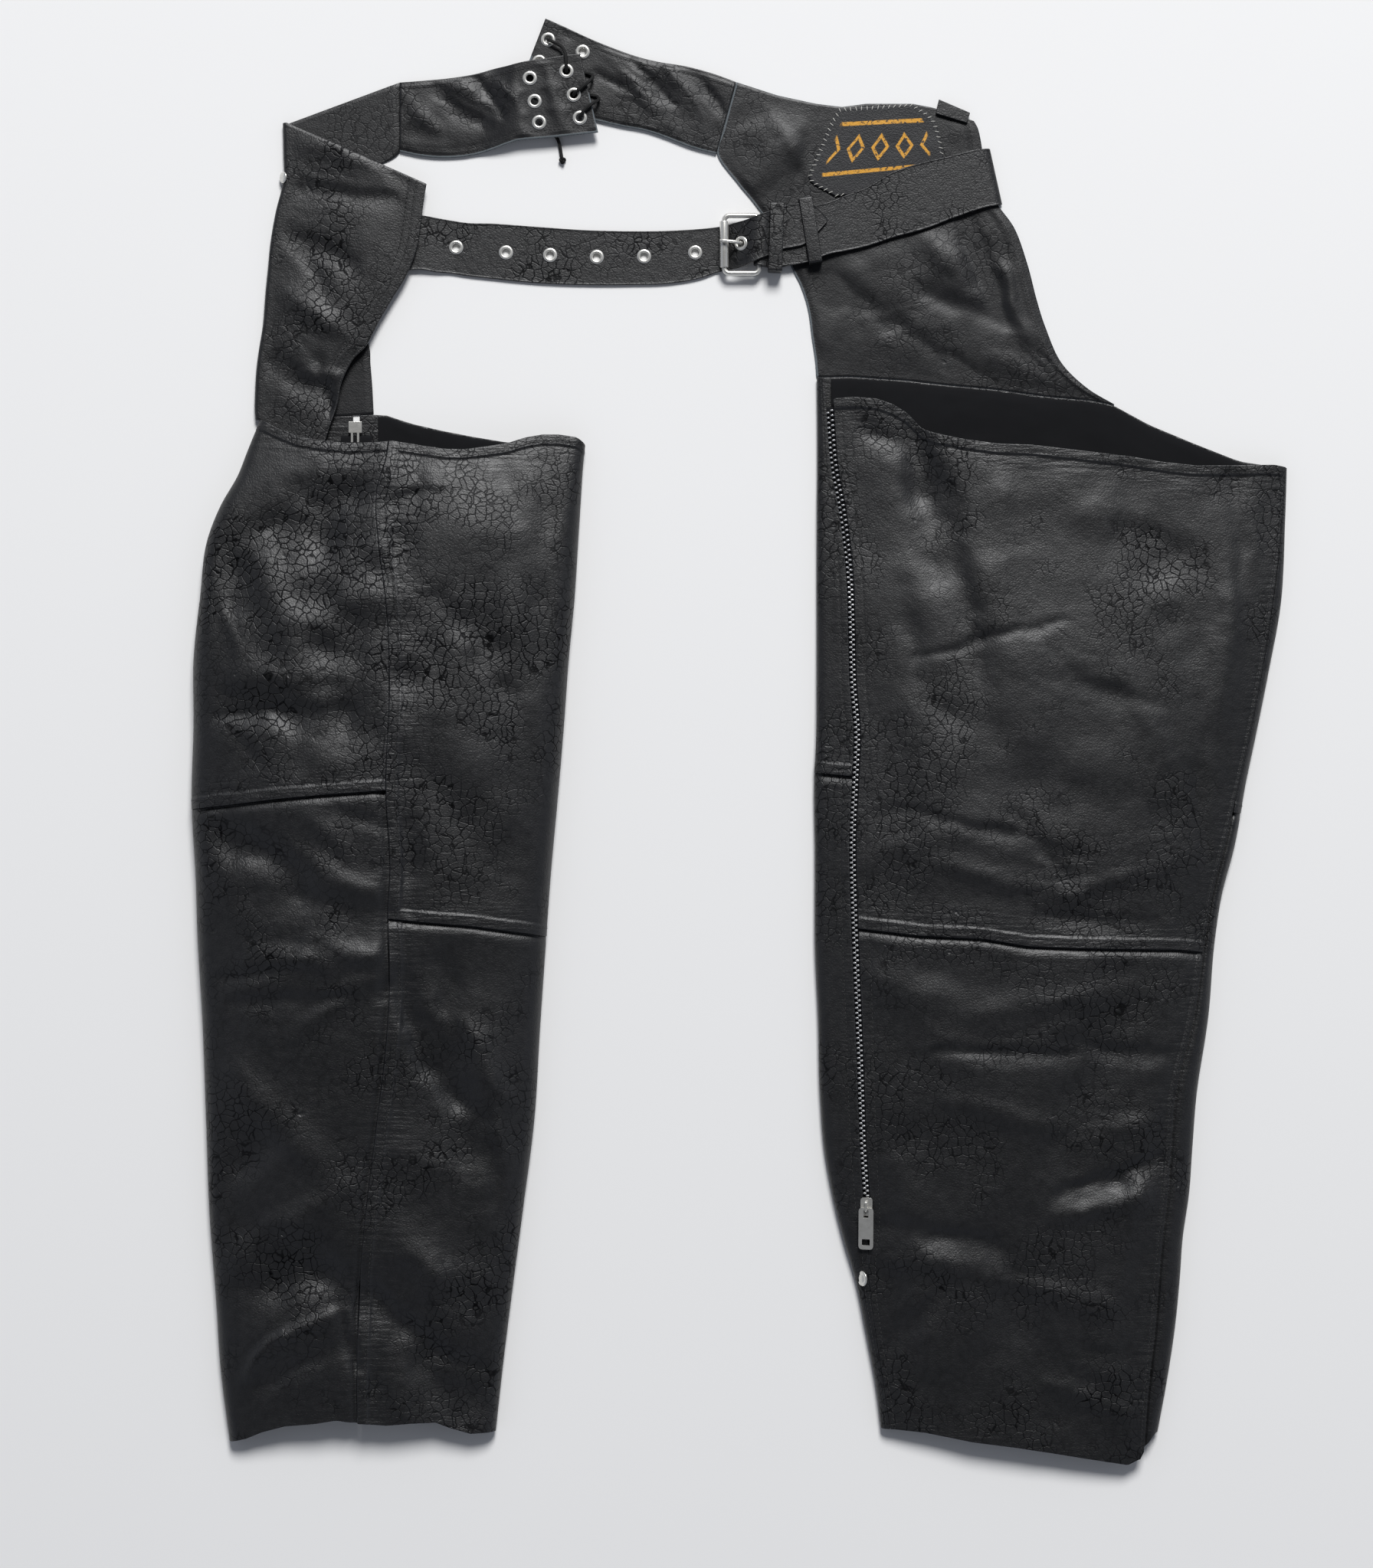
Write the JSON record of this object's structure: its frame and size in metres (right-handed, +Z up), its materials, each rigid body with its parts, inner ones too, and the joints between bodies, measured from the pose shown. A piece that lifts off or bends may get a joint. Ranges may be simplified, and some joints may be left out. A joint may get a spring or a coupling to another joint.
{
  "type": "leather chaps",
  "caption": "Leather leg chaps laid out flat: two open-topped legs with side zips, a laced waist yoke, a buckled belt strap and a bare patch inside the hip.",
  "frame": {"origin": "on the floor, under the middle of the outline", "axes": "+Y from the ankles to the waist, +X to the viewer's right seen from above, +Z up from the floor"},
  "size_m": [0.8552, 1.1289, 0.042],
  "materials": {
    "outer_leather": "black grained leather, semi-gloss",
    "inner_leather": "black smooth leather, inner side",
    "lining_cloth": "matt black lining",
    "zip_cloth": "matt black zip tape",
    "lace_cord": "black cord",
    "nickel": "polished nickel plate",
    "zip_metal": "worn bright metal"
  },
  "bodies": {
    "chaps": {"front_upper_left": "outer_leather", "front_lower_left": "outer_leather", "back_upper_left": "outer_leather", "back_lower_left": "outer_leather", "hip_left": "outer_leather", "front_upper_right": "outer_leather", "front_lower_right": "outer_leather", "back_upper_right": "outer_leather", "back_lower_right": "outer_leather", "hip_right": "inner_leather", "yoke_left": "inner_leather", "yoke_right": "inner_leather", "lining_left": "lining_cloth", "lining_right": "lining_cloth", "patch": "outer_leather", "waist_loop": "outer_leather", "belt_strap": "outer_leather", "buckle_strap": "outer_leather", "keeper_1": "outer_leather", "keeper_2": "outer_leather", "buckle_frame": "nickel", "buckle_roller": "nickel", "buckle_prong": "nickel", "zip_tape_left": "zip_cloth", "zip_teeth_left": "zip_metal", "zip_box_left": "zip_metal", "zip_tape_right": "zip_cloth", "zip_teeth_right": "zip_metal", "zip_slider": "zip_metal", "ankle_snap": "nickel", "snap_cap_hip": "nickel", "lace_top": "lace_cord", "lace_middle": "lace_cord", "lace_bottom": "lace_cord", "lace_free_end": "lace_cord", "belt_eyelet_1": "nickel", "belt_eyelet_2": "nickel", "belt_eyelet_3": "nickel", "belt_eyelet_4": "nickel", "belt_eyelet_5": "nickel", "belt_eyelet_6": "nickel", "belt_eyelet_7": "nickel", "yoke_eyelet_left_1": "nickel", "yoke_eyelet_left_2": "nickel", "yoke_eyelet_left_3": "nickel", "yoke_eyelet_left_4": "nickel", "yoke_eyelet_left_5": "nickel", "yoke_eyelet_left_6": "nickel", "yoke_eyelet_right_1": "nickel", "yoke_eyelet_right_2": "nickel", "yoke_eyelet_right_3": "nickel"},
    "pull_tab": {"pull_tab": "zip_metal"}
  },
  "joints": [
    {"name": "pull_tab_hinge", "type": "hinge", "parent": "chaps", "child": "pull_tab", "pos_m": [0.09818, -0.36456, 0.01902], "axis": [-0.9852, 0.0197, -0.1702], "range_deg": [0, 150]}
  ]
}
